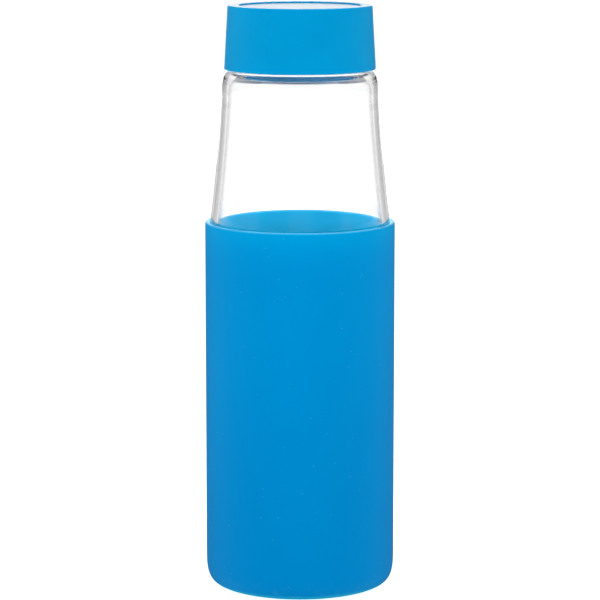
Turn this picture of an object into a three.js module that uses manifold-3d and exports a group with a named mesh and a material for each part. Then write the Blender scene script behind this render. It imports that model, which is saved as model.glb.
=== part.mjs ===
// Glass water bottle: a one-piece glass body with a threaded neck, a silicone sleeve closed at the
// bottom, and a screw lid made of an outer shell, a threaded liner and a flat seal ring.
// Millimetres, +Z up. The origin is the centre of the base, on the surface that the bottle stands on.
import * as THREE from 'three';
import { mergeVertices } from 'three/addons/utils/BufferGeometryUtils.js';
import Module from 'manifold-3d';

// ---- driving dimensions ----
const GAP = 0.3;                    // clearance between pieces that touch
const FACETS = 48;                  // facets round every turned piece
const ARC_SAG = 0.1;                // how far a rounded corner's facets lie inside its true arc

const SLEEVE_RADIUS = 36.5;         // outside of the silicone sleeve
const SLEEVE_WALL = 1.8;
const SLEEVE_FLOOR = 2.0;
const SLEEVE_HEIGHT = 141.6;        // from the base to the sleeve's rim
const SLEEVE_RIM_RADIUS = 0.7;      // rounding of the rim's two edges
const FOOT_CORNER = { across: 7.3, up: 12.3, power: 3.3, steps: 6 };  // superellipse at the sleeve's foot

const GLASS_RADIUS = SLEEVE_RADIUS - SLEEVE_WALL - GAP;     // straight part inside the sleeve
const GLASS_WALL = 2.5;
const GLASS_FLOOR = 5.0;
const PUNT = { radius: 22, height: 1.5, steps: 3 };         // shallow hollow under the glass
const GLASS_FOOT_CORNER = 10;
const FLARE_START = 142;            // height where the straight wall turns into the taper
const FLARE_BLEND = 40;             // radius that blends the two
const FLARE_CONTROL = { radius: 30.73, height: 173.3 };
const FLARE_STEPS = 6;
const SHOULDER_START = { radius: 30.13, height: 190 };
const SHOULDER_POWER = 2.5;         // superellipse of the shoulder's round
const SHOULDER_STEPS = 6;
const RING = { radius: 27, bottom: 199.9, top: 200.5, corner: 0.25 };  // glass ring under the lid
const NECK_RADIUS = 24.2;           // root of the neck's thread
const NECK_TOP = 218;
const LIP_CORNER = 0.7;             // rounding of the mouth's two edges
const BORE_RADIUS = 22.2;
const INNER_SHOULDER = [            // radius and height where the inside widens, from the bore down
  [BORE_RADIUS, 200.1],
  [23.5, 199.2],
  [25.55, 197.8],
  [26.95, 195.35],
  [27.5, 192.2],
  [27.62, 188.3],
];

const LID_BOTTOM = 200.1;
const LID_TOP = 224.5;
const LID_BOTTOM_RADIUS = 29.05;
const LID_TOP_RADIUS = 27.64;
const LID_WALL = 1.2;
const LID_EDGE = 0.5;               // rounding of the lid's outer edges
const LID_INNER_CORNER = 0.3;
const RECESS = { radius: 23.4, depth: 0.6, edge: 0.3, corner: 0.2 };  // dish in the lid's top
const SHELL_TOP_THICKNESS = 1.7;

const LINER = { outer: 26.1, inner: 25.3, bottom: 201.2, plate: 1.4, edge: 0.3, corner: 0.4 };
const SEAL = { inner: 21.6, outer: 24.8, thickness: 1.6, corner: 0.2 };

// Right-hand thread with two starts, so that the lid comes off in a short turn.
const THREAD = { starts: 2, lead: 9, depth: 0.8, rootWidth: 2.4, crestWidth: 1.4 };
const NECK_THREAD = { bottom: 205.2, sweep: 300 };
const LINER_THREAD = {              // lies midway between the neck's turns
  bottom: NECK_THREAD.bottom - THREAD.lead / THREAD.starts / 2,
  sweep: 300,
};
const THREAD_FADE = 30;             // degrees over which a thread's end runs out
const THREAD_STEP = 10;             // degrees for each step of a thread
const SINK = 0.35;                  // how far a thread's root is let into the wall it stands on
const THREAD_END_HEIGHT = 0.1;      // what is left of a thread's height at its ends

// ---- outlines ----
const point = (radius, height) => new THREE.Vector2(radius, height);

// A corner rounded to a radius between its two neighbours.
function roundedCorner(before, corner, after, radius) {
  const toBefore = before.clone().sub(corner).normalize();
  const toAfter = after.clone().sub(corner).normalize();
  const half = Math.acos(THREE.MathUtils.clamp(toBefore.dot(toAfter), -1, 1)) / 2;
  const bisector = toBefore.clone().add(toAfter).normalize();
  const centre = bisector.multiplyScalar(radius / Math.sin(half)).add(corner);
  const start = toBefore.multiplyScalar(radius / Math.tan(half)).add(corner).sub(centre);
  const end = toAfter.multiplyScalar(radius / Math.tan(half)).add(corner).sub(centre);
  const first = start.angle();
  let turn = end.angle() - first;
  if (turn > Math.PI) turn -= 2 * Math.PI;
  if (turn < -Math.PI) turn += 2 * Math.PI;
  const stepAngle = 2 * Math.acos(Math.max(0, 1 - ARC_SAG / radius));
  const steps = Math.max(1, Math.ceil(Math.abs(turn) / stepAngle));
  return Array.from({ length: steps + 1 }, (_, i) => {
    const angle = first + (turn * i) / steps;
    return point(centre.x + radius * Math.cos(angle), centre.y + radius * Math.sin(angle));
  });
}

// An outline from [radius, height] or [radius, height, corner radius]. Arrays of points pass through.
function outline(...stops) {
  const at = (stop) => (Array.isArray(stop) ? point(stop[0], stop[1]) : stop);
  const flat = stops.flatMap((stop) => (stop[0] instanceof THREE.Vector2 ? stop : [stop]));
  return flat.flatMap((stop, i) => {
    if (!Array.isArray(stop) || !stop[2]) return [at(stop)];
    const before = at(flat[(i + flat.length - 1) % flat.length]);
    const after = at(flat[(i + 1) % flat.length]);
    return roundedCorner(before, at(stop), after, stop[2]);
  });
}

// A quarter of a superellipse, from its lowest point out to its widest one.
function foot({ across, up, power, steps }, radius) {
  return Array.from({ length: steps + 1 }, (_, i) => {
    const angle = (Math.PI / 2) * (i / steps);
    return point(
      radius - across + across * Math.sin(angle) ** (2 / power),
      up - up * Math.cos(angle) ** (2 / power),
    );
  });
}

// ---- solids ----
// Turns an outline round the Z axis. The outline runs up the outside and down the inside.
function turned(profile, closed = false) {
  const points = closed ? [...profile, profile[0].clone()] : profile;
  return new THREE.LatheGeometry(points, FACETS).rotateX(Math.PI / 2);
}

// One thread: a trapezium swept up a helix, standing out from the wall or in from it.
function thread(wallRadius, crestRadius, bottom, sweep, startAngle) {
  const outward = Math.sign(crestRadius - wallRadius);
  const steps = Math.round(sweep / THREAD_STEP);
  const positions = [];
  for (let i = 0; i <= steps; i += 1) {
    const turn = (sweep * i) / steps;
    const full = Math.min(1, turn / THREAD_FADE, (sweep - turn) / THREAD_FADE);
    const root = wallRadius - outward * SINK;
    const crest = root + outward * Math.max(THREAD_END_HEIGHT, full * (THREAD.depth + SINK));
    const height = bottom + (THREAD.lead * turn) / 360;
    const angle = THREE.MathUtils.degToRad(startAngle + turn);
    const section = [
      [root, -THREAD.rootWidth / 2],
      [crest, -THREAD.crestWidth / 2],
      [crest, THREAD.crestWidth / 2],
      [root, THREAD.rootWidth / 2],
    ];
    if (outward < 0) section.reverse();
    for (const [radius, rise] of section) {
      positions.push(radius * Math.cos(angle), radius * Math.sin(angle), height + rise);
    }
  }
  const faces = [0, 1, 2, 0, 2, 3];
  for (let i = 0; i < steps; i += 1) {
    for (let side = 0; side < 4; side += 1) {
      const a = 4 * i + side;
      const b = 4 * i + ((side + 1) % 4);
      faces.push(a, a + 4, b, b, a + 4, b + 4);
    }
  }
  const last = 4 * steps;
  faces.push(last, last + 2, last + 1, last, last + 3, last + 2);
  const geometry = new THREE.BufferGeometry();
  geometry.setAttribute('position', new THREE.Float32BufferAttribute(positions, 3));
  geometry.setIndex(faces);
  return geometry;
}

const wasm = await Module();
wasm.setup();

function toSolid(geometry) {
  const bare = geometry.clone();
  bare.deleteAttribute('normal');
  bare.deleteAttribute('uv');
  const merged = mergeVertices(bare, 1e-4);
  return new wasm.Manifold(new wasm.Mesh({
    numProp: 3,
    vertProperties: new Float32Array(merged.attributes.position.array),
    triVerts: new Uint32Array(merged.index.array),
  }));
}

function toGeometry(solid) {
  const mesh = solid.getMesh();
  const geometry = new THREE.BufferGeometry();
  geometry.setAttribute('position', new THREE.Float32BufferAttribute(mesh.vertProperties, 3));
  geometry.setIndex([...mesh.triVerts]);
  geometry.computeVertexNormals();
  return geometry;
}

// A turned piece with its starts of thread joined on.
function threaded(geometry, wallRadius, crestRadius, { bottom, sweep }) {
  let solid = toSolid(geometry);
  for (let start = 0; start < THREAD.starts; start += 1) {
    const angle = (360 * start) / THREAD.starts;
    solid = solid.add(toSolid(thread(wallRadius, crestRadius, bottom, sweep, angle)));
  }
  return toGeometry(solid);
}

// ---- the pieces ----
function glassBottle() {
  const bottom = SLEEVE_FLOOR + GAP;
  const flare = new THREE.QuadraticBezierCurve(
    point(GLASS_RADIUS, FLARE_START),
    point(FLARE_CONTROL.radius, FLARE_CONTROL.height),
    point(SHOULDER_START.radius, SHOULDER_START.height),
  ).getPoints(FLARE_STEPS).slice(1);
  const shoulder = { across: SHOULDER_START.radius - RING.radius, up: RING.bottom - SHOULDER_START.height };
  const shoulderArc = Array.from({ length: SHOULDER_STEPS }, (_, i) => {
    const angle = (Math.PI / 2) * ((i + 1) / SHOULDER_STEPS);
    return point(
      RING.radius + shoulder.across * Math.cos(angle) ** (2 / SHOULDER_POWER),
      SHOULDER_START.height + shoulder.up * Math.sin(angle) ** (2 / SHOULDER_POWER),
    );
  });
  const innerFlare = flare.slice(0, -1).reverse().map((p) => point(p.x - GLASS_WALL, p.y));
  const innerRadius = GLASS_RADIUS - GLASS_WALL;
  const punt = Array.from({ length: PUNT.steps + 1 }, (_, i) => {
    const share = i / PUNT.steps;
    return point(PUNT.radius * share, bottom + PUNT.height * (1 - share ** 2));
  });
  const profile = outline(
    punt,
    [GLASS_RADIUS, bottom, GLASS_FOOT_CORNER],
    [GLASS_RADIUS, FLARE_START, FLARE_BLEND],
    flare,
    shoulderArc,
    [RING.radius, RING.top, RING.corner],
    [NECK_RADIUS, RING.top, RING.corner],
    [NECK_RADIUS, NECK_TOP, LIP_CORNER],
    [BORE_RADIUS, NECK_TOP, LIP_CORNER],
    ...INNER_SHOULDER,
    innerFlare,
    [innerRadius, FLARE_START, FLARE_BLEND],
    [innerRadius, bottom + GLASS_FLOOR, GLASS_FOOT_CORNER - GLASS_WALL],
    [0, bottom + GLASS_FLOOR],
  );
  return threaded(turned(profile), NECK_RADIUS, NECK_RADIUS + THREAD.depth, NECK_THREAD);
}

function siliconeSleeve() {
  const inner = SLEEVE_RADIUS - SLEEVE_WALL;
  const profile = outline(
    [0, 0],
    foot(FOOT_CORNER, SLEEVE_RADIUS),
    [SLEEVE_RADIUS, SLEEVE_HEIGHT, SLEEVE_RIM_RADIUS],
    [inner, SLEEVE_HEIGHT, SLEEVE_RIM_RADIUS],
    [inner, SLEEVE_FLOOR, GLASS_FOOT_CORNER],
    [0, SLEEVE_FLOOR],
  );
  return turned(profile);
}

function lidShell() {
  const recessFloor = LID_TOP - RECESS.depth;
  const profile = outline(
    [0, recessFloor - SHELL_TOP_THICKNESS],
    [LID_TOP_RADIUS - LID_WALL, recessFloor - SHELL_TOP_THICKNESS, LID_INNER_CORNER],
    [LID_BOTTOM_RADIUS - LID_WALL, LID_BOTTOM, LID_EDGE],
    [LID_BOTTOM_RADIUS, LID_BOTTOM, LID_EDGE],
    [LID_TOP_RADIUS, LID_TOP, LID_EDGE],
    [RECESS.radius, LID_TOP, RECESS.edge],
    [RECESS.radius, recessFloor, RECESS.corner],
    [0, recessFloor],
  );
  return turned(profile);
}

function lidLiner() {
  const top = LID_TOP - RECESS.depth - SHELL_TOP_THICKNESS - GAP;
  const profile = outline(
    [0, top - LINER.plate],
    [LINER.inner, top - LINER.plate, LINER.corner],
    [LINER.inner, LINER.bottom, LINER.edge],
    [LINER.outer, LINER.bottom, LINER.edge],
    [LINER.outer, top, LINER.corner],
    [0, top],
  );
  return threaded(turned(profile), LINER.inner, LINER.inner - THREAD.depth, LINER_THREAD);
}

function lidSeal() {
  const bottom = NECK_TOP + GAP;
  const profile = outline(
    [SEAL.inner, bottom, SEAL.corner],
    [SEAL.outer, bottom, SEAL.corner],
    [SEAL.outer, bottom + SEAL.thickness, SEAL.corner],
    [SEAL.inner, bottom + SEAL.thickness, SEAL.corner],
  );
  return turned(profile, true);
}

function material(color, roughness, extra = {}) {
  return new THREE.MeshStandardMaterial({ color, roughness, metalness: 0, ...extra });
}

const clearGlass = { transparent: true, opacity: 0.35 };
const pieces = [
  ['glass_bottle', glassBottle(), material(0xf2fafa, 0.05, clearGlass)],
  ['silicone_sleeve', siliconeSleeve(), material(0x0095d8, 0.6)],
  ['lid_shell', lidShell(), material(0x009cd8, 0.45)],
  ['lid_liner', lidLiner(), material(0x0090cc, 0.5)],
  ['lid_seal', lidSeal(), material(0x0095d8, 0.6)],
];

const bottle = new THREE.Group();
for (const [name, geometry, finish] of pieces) {
  const mesh = new THREE.Mesh(geometry, finish);
  mesh.name = name;
  bottle.add(mesh);
}

export default bottle;
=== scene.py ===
"""Glass water bottle: clear glass body with a threaded neck, blue silicone sleeve, blue screw lid.

Every piece is turned round the Z axis from an outline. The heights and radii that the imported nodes'
boxes give come from there, and the other sizes are named below. Lengths are in metres.
"""

import math

import bmesh
import bpy
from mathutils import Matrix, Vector


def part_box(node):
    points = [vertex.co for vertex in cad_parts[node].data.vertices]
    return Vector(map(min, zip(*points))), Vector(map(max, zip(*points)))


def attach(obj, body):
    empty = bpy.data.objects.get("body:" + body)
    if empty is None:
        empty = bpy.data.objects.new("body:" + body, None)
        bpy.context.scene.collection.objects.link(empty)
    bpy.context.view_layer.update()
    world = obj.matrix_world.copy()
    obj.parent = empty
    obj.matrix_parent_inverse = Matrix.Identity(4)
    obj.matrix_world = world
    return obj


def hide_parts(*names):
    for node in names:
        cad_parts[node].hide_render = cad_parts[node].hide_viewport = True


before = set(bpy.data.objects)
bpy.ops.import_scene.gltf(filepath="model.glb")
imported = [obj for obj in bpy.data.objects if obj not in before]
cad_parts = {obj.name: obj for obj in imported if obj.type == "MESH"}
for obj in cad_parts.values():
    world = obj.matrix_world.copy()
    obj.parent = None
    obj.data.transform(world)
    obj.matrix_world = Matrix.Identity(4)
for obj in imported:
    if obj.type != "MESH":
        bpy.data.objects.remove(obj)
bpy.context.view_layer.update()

MM = 0.001

# ---- how finely the pieces are turned ----
SEGMENTS = 192
CORNER_STEPS = 8
FLARE_STEPS = 24
SHOULDER_STEPS = 16
INNER_SHOULDER_STEPS = 5  # from each of its points to the next
PUNT_STEPS = 8
FOOT_STEPS = 24
THREAD_ROW = 0.3 * MM
ROW_STEP = 4.0 * MM  # longest step along a straight stretch of an outline
STRAIGHT = 3.0 * MM  # a longer stretch is straight, not part of a curve
SUPPORT = 0.12 * MM  # a row this close to each end keeps a straight stretch flat
CLOSE = 0.01 * MM  # a point closer than this to a line or the axis is on it
TWIN_ROWS = 1e-7  # rows closer than this are one row

# ---- the sleeve ----
SLEEVE_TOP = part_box("silicone_sleeve")[1][2]
SLEEVE_WALL = 1.8 * MM
SLEEVE_FLOOR = 2.0 * MM
SLEEVE_RIM = 0.75 * MM
SLEEVE_SNUG = 0.25 * MM  # how much closer than in CAD the sleeve's upper part hugs the glass
SNUG_START = 22 * MM
SNUG_FULL = 30 * MM
FOOT_ACROSS = 7.3 * MM
FOOT_UP = 12.3 * MM
FOOT_POWER = 3.3

# ---- the glass ----
GLASS_WALL = 2.5 * MM
GLASS_FLOOR = 5.0 * MM
GLASS_FOOT_CORNER = 10 * MM
PUNT_RADIUS = 22 * MM
PUNT_HEIGHT = 1.5 * MM
FLARE_START = 142 * MM
FLARE_BLEND = 40 * MM
FLARE_CONTROL = (30.73 * MM, 173.3 * MM)
SHOULDER_START = (30.13 * MM, 190 * MM)
SHOULDER_POWER = 2.5
RING_RADIUS = 27.0 * MM
RING_BOTTOM = 199.9 * MM
RING_TOP = 200.5 * MM
RING_CORNER = 0.25 * MM
NECK_RADIUS = 24.2 * MM
LIP_CORNER = 0.7 * MM
# where the inside narrows from the shoulder to the mouth, from the top down
INNER_SHOULDER = (
    (22.2 * MM, 200.1 * MM),
    (23.5 * MM, 199.2 * MM),
    (25.55 * MM, 197.8 * MM),
    (26.95 * MM, 195.35 * MM),
    (27.5 * MM, 192.2 * MM),
    (27.62 * MM, 188.3 * MM),
)
INNER_FLARE_TOP = 186 * MM

# ---- the lid ----
LID_TOP_RADIUS = 27.64 * MM
LID_WALL = 1.2 * MM
LID_EDGE = 0.5 * MM
LID_INNER_CORNER = 0.3 * MM
RECESS_RADIUS = 23.4 * MM
RECESS_DEPTH = 0.6 * MM
RECESS_EDGE = 0.3 * MM
RECESS_CORNER = 0.2 * MM
SHELL_TOP_THICKNESS = 1.7 * MM
LINER_WALL = 0.8 * MM
LINER_PLATE = 1.4 * MM
LINER_CORNER = 0.4 * MM
LINER_MOUTH_CORNER = 0.3 * MM
SEAL_WIDTH = 3.2 * MM
SEAL_CORNER = 0.35 * MM

# ---- the thread, with angles in degrees ----
THREAD_STARTS = 2
THREAD_LEAD = 9.0 * MM
THREAD_DEPTH = 0.8 * MM
THREAD_ROOT = 2.4 * MM
THREAD_CREST = 1.4 * MM
THREAD_SWEEP = 300.0
THREAD_FADE = 30.0
NECK_THREAD_BOTTOM = 205.2 * MM
LINER_THREAD_BOTTOM = NECK_THREAD_BOTTOM - THREAD_LEAD / THREAD_STARTS / 2

# ---- the studio ----
CAMERA_LENS = 172.18  # mm
CAMERA_SENSOR = 36.0  # mm
CAMERA_PLACE = (0.0, -1.09522, 0.28701)
CAMERA_TILT = 9.14  # degrees below the horizontal

FLOOR_HALF = 14.0
BACKDROP_CENTRE = (0, 1.7, 0.6)
BACKDROP_HALF_WIDTH = 0.42
BACKDROP_HALF_HEIGHT = 0.6
BACKDROP_LIGHT = 3.4

# azimuth in degrees, width and name
STRIPS = ((-72, 0.8, "left"), (0, 0.86, "front"), (65, 0.5, "right"))
STRIP_DISTANCE = 1.5
STRIP_HEIGHT = 0.35
STRIP_LENGTH = 1.6
STRIP_LIGHT = 2.2  # watts for each square metre
GLINT_LIGHT = 40.0  # watts for each square metre

KEY_PLACE = (0.98, -0.62, 1.0)
KEY_TARGET = (0, 0, 0.14)
KEY_SIDE = 0.8
KEY_POWER = 8.2  # watts

# how bright the world is to each kind of ray
WORLD_SEEN = 1.0
WORLD_THROUGH_GLASS = 6.6  # on matte surfaces behind the glass
WORLD_MIRRORED = 0.12
WORLD_MATTE = 0.27  # on other matte surfaces, from above
WORLD_MATTE_FROM_BELOW = 0.95
WORLD_BELOW, WORLD_ABOVE = -0.35, 0.25  # where above and below start, from -1 to 1


# ---- outlines ----
def rounded_corner(before, corner, after, radius):
    """Points of an arc that rounds a corner off."""
    to_before = (before - corner).normalized()
    to_after = (after - corner).normalized()
    half = to_before.angle(to_after) / 2
    reach = radius / math.tan(half)
    centre = corner + (to_before + to_after).normalized() * (radius / math.sin(half))
    start = corner + to_before * reach - centre
    end = corner + to_after * reach - centre
    first = math.atan2(start.y, start.x)
    turn = (math.atan2(end.y, end.x) - first + math.pi) % (2 * math.pi) - math.pi
    points = []
    for i in range(CORNER_STEPS + 1):
        angle = first + turn * i / CORNER_STEPS
        points.append(centre + Vector((math.cos(angle), math.sin(angle))) * radius)
    return points


def outline(*stops):
    """An outline of (radius, height) or (radius, height, corner radius) stops, as rows of points.

    A list of plain points passes through. Straight stretches are cut into rows, with one close to
    each end.
    """
    flat = []
    for stop in stops:
        flat.extend(stop if isinstance(stop, list) else [stop])
    bare = [Vector(stop[:2]) for stop in flat]
    points = []
    for i, stop in enumerate(flat):
        if len(stop) == 3:
            after = bare[(i + 1) % len(flat)]
            points.extend(rounded_corner(bare[i - 1], bare[i], after, stop[2]))
        else:
            points.append(bare[i])
    rows = [points[0]]
    for start, end in zip(points, points[1:]):
        length = (end - start).length
        if length > STRAIGHT:
            along = (end - start) / length
            rows.append(start + along * SUPPORT)
            inner = length - 2 * SUPPORT
            count = max(1, math.ceil(inner / ROW_STEP))
            for k in range(1, count):
                rows.append(start + along * (SUPPORT + inner * k / count))
            rows.append(end - along * SUPPORT)
        rows.append(end)
    return [row for i, row in enumerate(rows) if i == 0 or (row - rows[i - 1]).length > TWIN_ROWS]


def quarter_oval(start, end, power, steps):
    """A quarter of a superellipse from start, where it runs upright, to end, where it runs level."""
    points = []
    for i in range(steps + 1):
        angle = math.pi / 2 * i / steps
        across = end[0] + (start[0] - end[0]) * math.cos(angle) ** (2 / power)
        up = start[1] + (end[1] - start[1]) * math.sin(angle) ** (2 / power)
        points.append((across, up))
    return points


def bend(start, control, end, steps):
    """A quadratic Bezier curve, without its first point."""
    points = []
    for i in range(1, steps + 1):
        t = i / steps
        shares = (((1 - t) ** 2, start), (2 * (1 - t) * t, control), (t * t, end))
        points.append(tuple(sum(share * stop[axis] for share, stop in shares) for axis in (0, 1)))
    return points


def smooth_curve(points, steps):
    """Points of a Catmull-Rom curve through the given ones, without the last."""
    curve = []
    knots = [Vector(point) for point in points]
    knots = [knots[0]] + knots + [knots[-1]]
    for before, start, end, after in zip(knots, knots[1:], knots[2:], knots[3:]):
        for i in range(steps):
            t = i / steps
            pull = (end - before) * t + (2 * before - 5 * start + 4 * end - after) * t * t
            pull += (3 * start - before - 3 * end + after) * t**3
            curve.append(tuple(start + pull / 2))
    return curve


def wall_points(radius, start, end, count):
    """Evenly spaced points up or down a wall, without its two ends."""
    return [(radius, start + (end - start) * i / count) for i in range(1, count)]


def thread_height(angle, height, bottom):
    """How far a thread stands out at an angle and a height, from 0 to its full depth."""
    best = 0.0
    for start in range(THREAD_STARTS):
        turn = (angle - 360.0 * start / THREAD_STARTS) % 360.0
        if turn > THREAD_SWEEP:
            continue
        away = abs(height - bottom - THREAD_LEAD * turn / 360.0)
        flank = (THREAD_ROOT / 2 - away) / ((THREAD_ROOT - THREAD_CREST) / 2)
        flank = min(1.0, max(0.0, flank))
        flank = flank * flank * (3 - 2 * flank)
        fade = min(1.0, turn / THREAD_FADE, (THREAD_SWEEP - turn) / THREAD_FADE)
        best = max(best, flank * math.sin(fade * math.pi / 2))
    return THREAD_DEPTH * best


def turned(name, rows, closed=False, threaded=None, zones=None):
    """A mesh turned from rows of (radius, height). threaded(row, angle) is added to a row's radius.

    zones gives each row the number of the material that the faces from it to the next row take.
    """
    mesh = bmesh.new()
    rings = []
    for row in rows:
        if row.x < CLOSE:
            rings.append([mesh.verts.new((0, 0, row.y))])
            continue
        ring = []
        for k in range(SEGMENTS):
            angle = 2 * math.pi * k / SEGMENTS
            radius = row.x + (threaded(row, math.degrees(angle)) if threaded else 0.0)
            ring.append(mesh.verts.new((radius * math.cos(angle), radius * math.sin(angle), row.y)))
        rings.append(ring)
    pairs = list(zip(rings, rings[1:]))
    if closed:
        pairs.append((rings[-1], rings[0]))
    for i, (low, high) in enumerate(pairs):
        for k in range(SEGMENTS):
            following = (k + 1) % SEGMENTS
            if len(low) == 1:
                corners = (low[0], high[following], high[k])
            elif len(high) == 1:
                corners = (low[k], low[following], high[0])
            else:
                corners = (low[k], low[following], high[following], high[k])
            mesh.faces.new(corners).material_index = zones[i] if zones else 0
    bmesh.ops.recalc_face_normals(mesh, faces=mesh.faces)
    for face in mesh.faces:
        face.smooth = True
    data = bpy.data.meshes.new(name)
    mesh.to_mesh(data)
    mesh.free()
    piece = bpy.data.objects.new(name, data)
    bpy.context.scene.collection.objects.link(piece)
    return piece


# ---- nodes ----
class Nodes:
    """Short calls that add nodes to a tree. What is given to an input is a value or a socket."""

    def __init__(self, tree):
        self.tree = tree

    def add(self, kind, inputs=(), **settings):
        node = self.tree.nodes.new(kind)
        for key, value in settings.items():
            setattr(node, key, value)
        for key, value in dict(inputs).items():
            self.feed(node.inputs[key], value)
        return node

    def feed(self, socket, value):
        if isinstance(value, bpy.types.NodeSocket):
            self.tree.links.new(value, socket)
        else:
            socket.default_value = value

    def span(self, value, low, high, to_low, to_high):
        """to_low where the value is low or less, to_high where it is high or more."""
        ends = {"From Min": low, "From Max": high, "To Min": to_low, "To Max": to_high}
        return self.add("ShaderNodeMapRange", {"Value": value, **ends}, clamp=True).outputs[0]


class Finish(Nodes):
    """A material with a Principled shader. An underscore in a socket's name stands for a space."""

    def __init__(self, name, **sockets):
        self.material = bpy.data.materials.new(name)
        self.material.use_nodes = True
        super().__init__(self.material.node_tree)
        self.place = self.add("ShaderNodeTexCoord").outputs["Object"]
        self.set(**sockets)

    def set(self, **sockets):
        shader = self.tree.nodes["Principled BSDF"]
        for socket, value in sockets.items():
            self.feed(shader.inputs[socket.replace("_", " ")], value)
        return self.material

    def noise(self, scale, detail=2.0, roughness=0.5, stretch=(1, 1, 1)):
        place = self.add("ShaderNodeMapping", {"Vector": self.place, "Scale": stretch}).outputs[0]
        node = self.add(
            "ShaderNodeTexNoise",
            {"Vector": place, "Scale": scale, "Detail": detail, "Roughness": roughness},
        )
        return node.outputs["Fac"]

    def specks(self, scale, size):
        """1 in small sparse spots, 0 elsewhere."""
        spots = self.add("ShaderNodeTexVoronoi", {"Vector": self.place, "Scale": scale})
        return self.span(spots.outputs["Distance"], size, size * 0.4, 0.0, 1.0)

    def math(self, operation, a, b):
        return self.add("ShaderNodeMath", {0: a, 1: b}, operation=operation).outputs[0]

    def blend(self, share, first, second):
        node = self.add("ShaderNodeMix", data_type="RGBA")
        self.feed(node.inputs["Factor"], share)
        for socket, colour in zip([s for s in node.inputs if s.type == "RGBA"], (first, second)):
            self.feed(socket, colour)
        return [s for s in node.outputs if s.type == "RGBA"][0]

    def height(self):
        return self.add("ShaderNodeSeparateXYZ", {0: self.place}).outputs["Z"]

    def facing(self):
        """How far side-on the surface is seen, from 0 to 1."""
        return self.add("ShaderNodeLayerWeight", {"Blend": 0.5}).outputs["Facing"]

    def bump(self, value, strength, distance, under=None):
        inputs = {"Height": value, "Strength": strength, "Distance": distance}
        if under is not None:
            inputs["Normal"] = under
        return self.add("ShaderNodeBump", inputs).outputs[0]


# ---- colours ----
def linear(value):
    """A linear value from a screen value out of 255."""
    value /= 255
    return value / 12.92 if value <= 0.04045 else ((value + 0.055) / 1.055) ** 2.4


def srgb(red, green, blue):
    return (linear(red), linear(green), linear(blue), 1.0)


SILICONE_BLUE = srgb(0, 142, 209)
# painted shade: the colour the sleeve takes towards the bottom, where less light falls
SILICONE_SHADED = srgb(0, 130, 199)
SILICONE_GRAIN = srgb(0, 178, 236)
# painted light: the colour the sleeve takes near the rim
SILICONE_LIT = srgb(0, 159, 221)
# painted light: the inside's colour, lighter in place of light that comes in through the glass
SILICONE_INSIDE_LIT = srgb(0, 161, 208)
# painted highlight along the rim's top
SILICONE_RIM_HIGHLIGHT = srgb(130, 215, 243)
SILICONE_SCUFFED = srgb(96, 176, 216)
LINT = srgb(150, 205, 232)
LID_BLUE = srgb(0, 156, 214)
LID_DEEP = srgb(0, 152, 210)
LID_GRAIN = srgb(40, 186, 240)
LID_DUST = srgb(0, 92, 140)
# painted shade: the colour a level face of the lid fades to when seen side-on
LID_SIDE_ON_SHADE = srgb(0, 20, 30)
LINER_BLUE = srgb(100, 168, 216)
LINER_DEEP = srgb(90, 156, 204)
SEAL_BLUE = srgb(0, 142, 209)
SEAL_PALE = srgb(40, 160, 215)
BLUE_GLOSS = (0.0, 0.35, 0.7, 1)  # faces seen head-on mirror blue, and faces seen side-on white
GLASS_GLOSS = (0.35, 0.35, 0.35, 1)
WHITE = (1, 1, 1, 1)

# how far side-on a face of the glass is seen, and how much light it lets through there: painted shade
# for the dark edges that glass shows
OUTSIDE_EDGE_SHADES = (
    (0.54, 0.99),
    (0.575, 0.88),
    (0.605, 0.93),
    (0.63, 0.68),
    (0.65, 0.42),
    (0.68, 0.36),
    (0.72, 0.38),
    (0.76, 0.24),
    (0.81, 0.7),
    (0.87, 0.99),
)
INSIDE_EDGE_SHADES = ((0.64, 0.99), (0.70, 0.75), (0.77, 0.45), (0.86, 0.42), (0.95, 0.6))
NECK_EDGE_SHADES = ((0.60, 0.99), (0.72, 0.85), (0.9, 0.95))

# ---- finishes ----
CLOUDS = (0.35, 0.65)  # what a coarse noise mostly lies between
GRAIN = (0.3, 0.7)  # what a fine noise mostly lies between
SCUFFS = (0.52, 0.7)  # from no scuff to a full one
# heights that the silicone's colour changes between: scuffs on the foot, painted shade lower down,
# painted light near the rim and a painted highlight on the rim's top
FOOT_BAND = (1.0 * MM, 9.0 * MM)
SHADE_BAND = (5 * MM, 110 * MM)
LIT_BAND = (118 * MM, SLEEVE_TOP)
RIM_HIGHLIGHT_BAND = (SLEEVE_TOP - 0.5 * MM, SLEEVE_TOP - 0.1 * MM)
# the side-on range of the painted shade on the lid's level faces
SIDE_ON = (0.8, 0.93)  # how far side-on a level face is when its colour begins to fade, and when it has
SHELL_ROUGHNESS = 0.3
LINER_ROUGHNESS = 0.42


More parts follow.
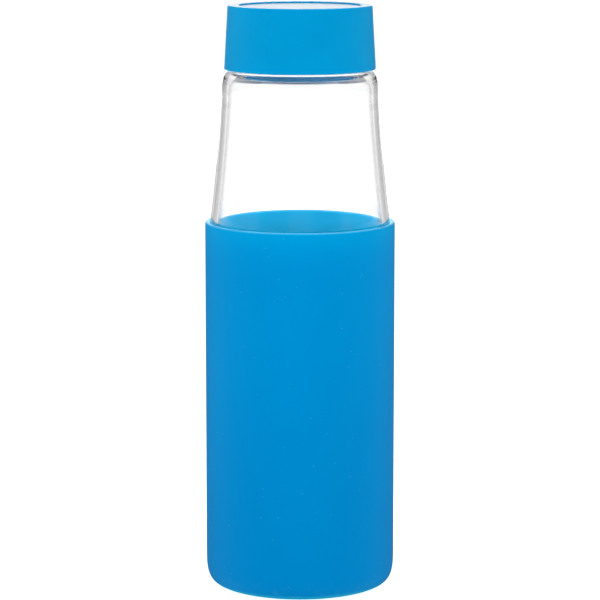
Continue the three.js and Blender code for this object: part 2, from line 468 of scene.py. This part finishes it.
def silicone(name, inner=False):
    """Matte moulded silicone: a fine even grain, faint clouds of colour, lint and a scuffed foot.

    Its colour is painted darker towards the bottom (painted shade), lighter towards the rim and on the
    inside (painted light), and paler on the rim's top (painted highlight).
    """
    finish = Finish(name, IOR=1.43, Specular_IOR_Level=0.06, Specular_Tint=BLUE_GLOSS)
    height = finish.height()
    clouds = finish.noise(22.0, detail=3.0)
    grain = finish.noise(2600.0)
    # painted shade: darker towards the bottom
    upper = finish.span(height, *SHADE_BAND, 0.0, 0.8)
    upper = finish.math("ADD", upper, finish.span(clouds, *CLOUDS, 0.0, 0.2))
    colour = finish.blend(upper, SILICONE_SHADED, SILICONE_BLUE)
    colour = finish.blend(finish.span(grain, *GRAIN, 0.0, 0.06), colour, SILICONE_GRAIN)
    # painted light: lighter near the rim
    lit = finish.math("POWER", finish.span(height, *LIT_BAND, 0.0, 1.0), 3.0)
    colour = finish.blend(lit, colour, SILICONE_LIT)
    # painted light: the inside is lighter all over
    if inner:
        colour = finish.blend(0.9, colour, SILICONE_INSIDE_LIT)
    # painted highlight on the rim's top
    colour = finish.blend(finish.span(height, *RIM_HIGHLIGHT_BAND, 0.0, 0.3), colour, SILICONE_RIM_HIGHLIGHT)
    foot = finish.span(height, *FOOT_BAND, 1.0, 0.0)
    scuffs = finish.span(finish.noise(420.0, detail=5.0), *SCUFFS, 0.0, 0.1)
    scuffs = finish.math("MULTIPLY", foot, scuffs)
    colour = finish.blend(scuffs, colour, SILICONE_SCUFFED)
    lint = finish.math("MULTIPLY", finish.specks(240.0, 0.07), 0.22)
    colour = finish.blend(lint, colour, LINT)
    roughness = finish.span(grain, *GRAIN, 0.34, 0.42)
    roughness = finish.math("ADD", roughness, finish.math("MULTIPLY", scuffs, 0.5))
    relief = finish.bump(grain, 0.35, 0.05 * MM, finish.bump(finish.noise(160.0), 0.12, 0.2 * MM))
    return finish.set(Base_Color=colour, Roughness=roughness, Normal=relief)


def lid_plastic(name, light, deep, roughness, level=False):
    """Moulded polypropylene with a fine spark-eroded texture.

    A level face seen side-on mirrors what is round it, and its colour is also painted darker there:
    painted shade that lets the reflection show.
    """
    finish = Finish(
        name,
        IOR=1.49,
        Specular_IOR_Level=0.2,
        Specular_Tint=BLUE_GLOSS,
        Subsurface_Weight=0.4,
        Subsurface_Radius=(0.3, 0.8, 1.0),
        Subsurface_Scale=3 * MM,
    )
    clouds = finish.noise(35.0)
    grain = finish.noise(3600.0, detail=3.0, roughness=0.6)
    colour = finish.blend(finish.span(clouds, *CLOUDS, 0.0, 1.0), deep, light)
    colour = finish.blend(finish.span(grain, *GRAIN, 0.0, 0.05), colour, LID_GRAIN)
    dust = finish.math("MULTIPLY", finish.specks(300.0, 0.06), 0.35)
    colour = finish.blend(dust, colour, LID_DUST)
    if level:
        # painted shade: a level face darker where it is seen side-on
        colour = finish.blend(finish.span(finish.facing(), *SIDE_ON, 0.0, 0.8), colour, LID_SIDE_ON_SHADE)
    relief = finish.bump(grain, 0.25, 0.04 * MM, finish.bump(finish.noise(120.0), 0.08, 0.2 * MM))
    return finish.set(
        Base_Color=colour,
        Roughness=finish.span(grain, *GRAIN, roughness, roughness + 0.1),
        Normal=relief,
    )


def clear_glass(name, edge_shades):
    """Clear soda-lime glass, its colour painted grey where it is seen along its wall: painted shade for
    the dark edges that glass shows.
    """
    finish = Finish(name, IOR=1.5, Transmission_Weight=1.0, Roughness=0.0, Specular_Tint=GLASS_GLOSS)
    # painted shade: the glass darker where it is seen side-on
    ramp = finish.add("ShaderNodeValToRGB", {"Fac": finish.facing()})
    stops = ramp.color_ramp.elements
    while len(stops) < len(edge_shades):
        stops.new(0.5)
    for stop, (side_on, shade_level) in zip(stops, edge_shades):
        stop.position = side_on
        stop.color = (shade_level, shade_level * 1.002, shade_level * 1.004, 1)
    ripple = finish.noise(45.0, detail=1.0, stretch=(1, 1, 0.35))
    relief = finish.bump(ripple, 0.006, 0.2 * MM)
    return finish.set(Base_Color=ramp.outputs["Color"], Normal=relief)


def seal_silicone():
    """Soft silicone of the seal ring."""
    finish = Finish("seal_blue", IOR=1.43, Specular_Tint=BLUE_GLOSS)
    clouds = finish.noise(180.0, detail=3.0)
    grain = finish.noise(2400.0)
    return finish.set(
        Base_Color=finish.blend(finish.span(clouds, *CLOUDS, 0.0, 1.0), SEAL_BLUE, SEAL_PALE),
        Roughness=finish.span(grain, *GRAIN, 0.45, 0.6),
        Normal=finish.bump(grain, 0.2, 0.05 * MM),
    )


# ---- the pieces ----
OUTSIDE, INSIDE, NECK = 0, 1, 2  # the glass's materials


def glass_bottle():
    """The one-piece bottle, with a hollow under its floor and a threaded neck."""
    low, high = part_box("glass_bottle")
    radius, bottom, top = high[0], low[2], high[2]
    inner = radius - GLASS_WALL
    inside_floor = bottom + GLASS_FLOOR
    punt = []
    for i in range(1, PUNT_STEPS + 1):
        share = i / PUNT_STEPS
        punt.append((PUNT_RADIUS * share, bottom + PUNT_HEIGHT * (1 - share * share)))
    flare = bend((radius, FLARE_START), FLARE_CONTROL, SHOULDER_START, FLARE_STEPS)
    shoulder_end = (RING_RADIUS, RING_BOTTOM)
    shoulder = quarter_oval(SHOULDER_START, shoulder_end, SHOULDER_POWER, SHOULDER_STEPS)[1:]
    neck_bottom, neck_top = RING_TOP + RING_CORNER, top - LIP_CORNER
    neck = wall_points(NECK_RADIUS, neck_bottom, neck_top, round((neck_top - RING_TOP) / THREAD_ROW))
    inner_flare = [(r - GLASS_WALL, z) for r, z in flare if z < INNER_FLARE_TOP][::-1]
    bore = INNER_SHOULDER[0][0]
    rows = outline(
        (0, bottom + PUNT_HEIGHT),
        punt,
        (radius, bottom, GLASS_FOOT_CORNER),
        (radius, FLARE_START, FLARE_BLEND),
        flare,
        shoulder,
        (RING_RADIUS, RING_TOP, RING_CORNER),
        (NECK_RADIUS, RING_TOP, RING_CORNER),
        neck,
        (NECK_RADIUS, top, LIP_CORNER),
        (bore, top, LIP_CORNER),
        smooth_curve([*INNER_SHOULDER, *inner_flare[:2]], INNER_SHOULDER_STEPS),
        inner_flare[1:],
        (inner, FLARE_START, FLARE_BLEND),
        (inner, inside_floor, GLASS_FOOT_CORNER - GLASS_WALL),
        (0, inside_floor),
    )

    def threaded(row, angle):
        if row.x < NECK_RADIUS - CLOSE or row.y < neck_bottom:
            return 0.0
        return thread_height(angle, row.y, NECK_THREAD_BOTTOM)

    past_lip = [row.x < NECK_RADIUS - CLOSE and row.y > RING_TOP for row in rows].index(True)
    zones = [NECK if row.y > RING_BOTTOM - CLOSE else OUTSIDE for row in rows[:past_lip]]
    zones += [INSIDE] * (len(rows) - past_lip)
    return turned("bottle_clear_glass", rows, threaded=threaded, zones=zones)


def silicone_sleeve():
    """The sleeve. Its second material is the inside's, which has painted light."""
    low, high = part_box("silicone_sleeve")
    radius, base, rim = high[0], low[2], high[2]
    inner = radius - SLEEVE_WALL
    snug = inner - SLEEVE_SNUG
    foot_top, foot_end = (radius, base + FOOT_UP), (radius - FOOT_ACROSS, base)
    rows = outline(
        (0, base),
        quarter_oval(foot_top, foot_end, FOOT_POWER, FOOT_STEPS)[::-1],
        (radius, rim, SLEEVE_RIM),
        (snug, rim, SLEEVE_RIM),
        (snug, base + SNUG_FULL),
        (inner, base + SNUG_START),
        (inner, base + SLEEVE_FLOOR, GLASS_FOOT_CORNER),
        (0, base + SLEEVE_FLOOR),
    )
    zones = [int(row.x < inner + CLOSE and row.y > base + CLOSE) for row in rows]
    return turned("sleeve_silicone", rows, zones=zones)


def lid_shell():
    """The lid's shell. Its second material is that of the two level faces on top."""
    low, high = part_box("lid_shell")
    radius, bottom, top = high[0], low[2], high[2]
    recess = top - RECESS_DEPTH
    ceiling = recess - SHELL_TOP_THICKNESS
    rows = outline(
        (0, ceiling),
        (LID_TOP_RADIUS - LID_WALL, ceiling, LID_INNER_CORNER),
        (radius - LID_WALL, bottom, LID_EDGE),
        (radius, bottom, LID_EDGE),
        (LID_TOP_RADIUS, top, LID_EDGE),
        (RECESS_RADIUS, top, RECESS_EDGE),
        (RECESS_RADIUS, recess, RECESS_CORNER),
        (0, recess),
    )
    zones = []
    for row in rows:
        on_rim = abs(row.y - top) < CLOSE
        on_rim = on_rim and RECESS_RADIUS + LID_EDGE < row.x < LID_TOP_RADIUS - LID_EDGE
        on_disc = abs(row.y - recess) < CLOSE and row.x < RECESS_RADIUS - LID_EDGE / 2
        zones.append(int(on_rim or on_disc))
    return turned("lid_outer_shell", rows, zones=zones)


def lid_liner():
    """The threaded cup inside the shell."""
    low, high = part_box("lid_liner")
    outer, bottom, top = high[0], low[2], high[2]
    inner = outer - LINER_WALL
    ceiling = top - LINER_PLATE
    wall = wall_points(inner, ceiling, bottom, round((ceiling - bottom) / THREAD_ROW))
    rows = outline(
        (0, ceiling),
        (inner, ceiling, LINER_CORNER),
        wall[1:-1],  # clear of the corners
        (inner, bottom, LINER_MOUTH_CORNER),
        (outer, bottom, LINER_MOUTH_CORNER),
        (outer, top, LINER_CORNER),
        (0, top),
    )

    def threaded(row, angle):
        if abs(row.x - inner) > CLOSE:
            return 0.0
        return -thread_height(angle, row.y, LINER_THREAD_BOTTOM)

    return turned("lid_inner_liner", rows, threaded=threaded)


def seal_ring():
    """The flat ring that the mouth of the glass closes on."""
    low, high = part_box("lid_seal")
    outer, bottom, top = high[0], low[2], high[2]
    inner = outer - SEAL_WIDTH
    rows = outline(
        (inner, bottom, SEAL_CORNER),
        (outer, bottom, SEAL_CORNER),
        (outer, top, SEAL_CORNER),
        (inner, top, SEAL_CORNER),
    )
    return turned("lid_seal_ring", rows, closed=True)


GLASS = (
    clear_glass("glass_outside", OUTSIDE_EDGE_SHADES),
    clear_glass("glass_inside", INSIDE_EDGE_SHADES),
    clear_glass("glass_neck", NECK_EDGE_SHADES),
)
SILICONE = (silicone("silicone_blue"), silicone("silicone_inner_lit", inner=True))
SHELL = (
    lid_plastic("lid_blue", LID_BLUE, LID_DEEP, SHELL_ROUGHNESS),
    lid_plastic("lid_blue_top", LID_BLUE, LID_DEEP, SHELL_ROUGHNESS, level=True),
)
LINER = (lid_plastic("liner_blue", LINER_BLUE, LINER_DEEP, LINER_ROUGHNESS),)
SEAL = (seal_silicone(),)

# what makes a piece, the node that it stands for, its body, its slot and its materials
PIECES = (
    (glass_bottle, "glass_bottle", "bottle", "clear_glass", GLASS),
    (silicone_sleeve, "silicone_sleeve", "sleeve", "blue_silicone", SILICONE),
    (lid_shell, "lid_shell", "lid", "blue_lid", SHELL),
    (lid_liner, "lid_liner", "lid", "blue_liner", LINER),
    (seal_ring, "lid_seal", "seal", "blue_seal", SEAL),
)
glassware = bpy.data.collections.new("glassware")
for make, node, body, slot, finishes in PIECES:
    piece = make()
    if make is glass_bottle:
        glassware.objects.link(piece)
    for finish in finishes:
        piece.data.materials.append(finish)
    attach(piece, body)
    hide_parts(node)


# ---- floor, lights and camera ----
def glowing(name, strength):
    """A material that only gives white light."""
    material = bpy.data.materials.new(name)
    material.use_nodes = True
    nodes = Nodes(material.node_tree)
    nodes.tree.nodes.clear()
    glow = nodes.add("ShaderNodeEmission", {"Color": WHITE, "Strength": strength})
    nodes.add("ShaderNodeOutputMaterial", {"Surface": glow.outputs[0]})
    return material


def floor_material():
    """A pale floor, bright enough to burn out except right beside the object."""
    return Finish(
        "floor_pale",
        Base_Color=(0.85, 0.85, 0.85, 1),
        Roughness=0.9,
        Specular_IOR_Level=0.1,
        Emission_Color=WHITE,
        Emission_Strength=0.8,
    ).material


def sheet(name, centre, across, up, material):
    """A flat rectangle round a centre, from two half-side vectors."""
    centre, across, up = Vector(centre), Vector(across), Vector(up)
    corners = [centre + x * across + y * up for x, y in ((-1, -1), (1, -1), (1, 1), (-1, 1))]
    data = bpy.data.meshes.new(name)
    data.from_pydata(corners, [], [(0, 1, 2, 3)])
    data.materials.append(material)
    piece = bpy.data.objects.new(name, data)
    bpy.context.scene.collection.objects.link(piece)
    return piece


def softbox(name, place, target, width, height, power, glint=False):
    """A soft rectangular light.

    A glint shows only as a reflection in the glass, and the other lights never show as one.
    """
    lamp = bpy.data.lights.new(name, "AREA")
    lamp.shape = "RECTANGLE"
    lamp.size, lamp.size_y, lamp.energy = width, height, power
    holder = bpy.data.objects.new(name, lamp)
    holder.location = place
    holder.rotation_mode = "QUATERNION"
    holder.rotation_quaternion = (Vector(target) - Vector(place)).to_track_quat("-Z", "Y")
    holder.visible_camera = False
    holder.visible_glossy = glint
    holder.visible_diffuse = not glint
    if glint:
        holder.light_linking.receiver_collection = glassware
    bpy.context.scene.collection.objects.link(holder)


def studio_world():
    """White to the eye and through glass, dim in reflections, and soft on matte surfaces.

    Each kind of ray overrides the kinds before it. A ray with a diffuse depth has left a matte
    surface, so where it isn't a diffuse ray itself, it is light coming in through the glass.
    """
    world = bpy.data.worlds.new("studio")
    bpy.context.scene.world = world
    world.use_nodes = True
    nodes = Nodes(world.node_tree)
    sky = nodes.add("ShaderNodeTexCoord").outputs["Generated"]
    height = nodes.add("ShaderNodeSeparateXYZ", {0: sky}).outputs["Z"]
    matte = nodes.span(height, WORLD_BELOW, WORLD_ABOVE, WORLD_MATTE_FROM_BELOW, WORLD_MATTE)
    path = nodes.add("ShaderNodeLightPath").outputs
    strength = WORLD_SEEN
    for ray, light in (
        ("Diffuse Depth", WORLD_THROUGH_GLASS),
        ("Is Reflection Ray", WORLD_MIRRORED),
        ("Is Diffuse Ray", matte),
    ):
        strength = nodes.span(path[ray], 0.0, 1.0, strength, light)
    background = nodes.tree.nodes["Background"]
    nodes.feed(background.inputs["Strength"], strength)
    nodes.feed(background.inputs["Color"], WHITE)


floor = sheet("floor", (0, 0, 0), (FLOOR_HALF, 0, 0), (0, FLOOR_HALF, 0), floor_material())
floor.visible_diffuse = False
floor.visible_glossy = False

backdrop = sheet(
    "backdrop",
    BACKDROP_CENTRE,
    (BACKDROP_HALF_WIDTH, 0, 0),
    (0, 0, BACKDROP_HALF_HEIGHT),
    glowing("backdrop_white", BACKDROP_LIGHT),
)
backdrop.visible_camera = False
backdrop.visible_transmission = False
backdrop.visible_diffuse = False

for azimuth, width, name in STRIPS:
    turn = math.radians(azimuth)
    place = (STRIP_DISTANCE * math.sin(turn), -STRIP_DISTANCE * math.cos(turn), STRIP_HEIGHT)
    target = (0, 0, STRIP_HEIGHT)
    area = width * STRIP_LENGTH
    softbox("strip_" + name, place, target, width, STRIP_LENGTH, STRIP_LIGHT * area)
    softbox("glint_" + name, place, target, width, STRIP_LENGTH, GLINT_LIGHT * area, glint=True)
for side, name in ((-1, "key_left"), (1, "key_right")):
    place = (side * KEY_PLACE[0], KEY_PLACE[1], KEY_PLACE[2])
    softbox(name, place, KEY_TARGET, KEY_SIDE, KEY_SIDE, KEY_POWER)
studio_world()

camera_data = bpy.data.cameras.new("camera")
camera_data.lens = CAMERA_LENS
camera_data.sensor_width = CAMERA_SENSOR
camera_data.clip_end = 40.0
camera = bpy.data.objects.new("camera", camera_data)
camera.location = CAMERA_PLACE
camera.rotation_euler = (math.radians(90 - CAMERA_TILT), 0, 0)
bpy.context.scene.collection.objects.link(camera)

scene = bpy.context.scene
scene.camera = camera
scene.view_settings.view_transform = "Standard"
scene.cycles.use_denoising = True
scene.cycles.max_bounces = 48
scene.cycles.transmission_bounces = 40
scene.cycles.glossy_bounces = 40
scene.cycles.diffuse_bounces = 6
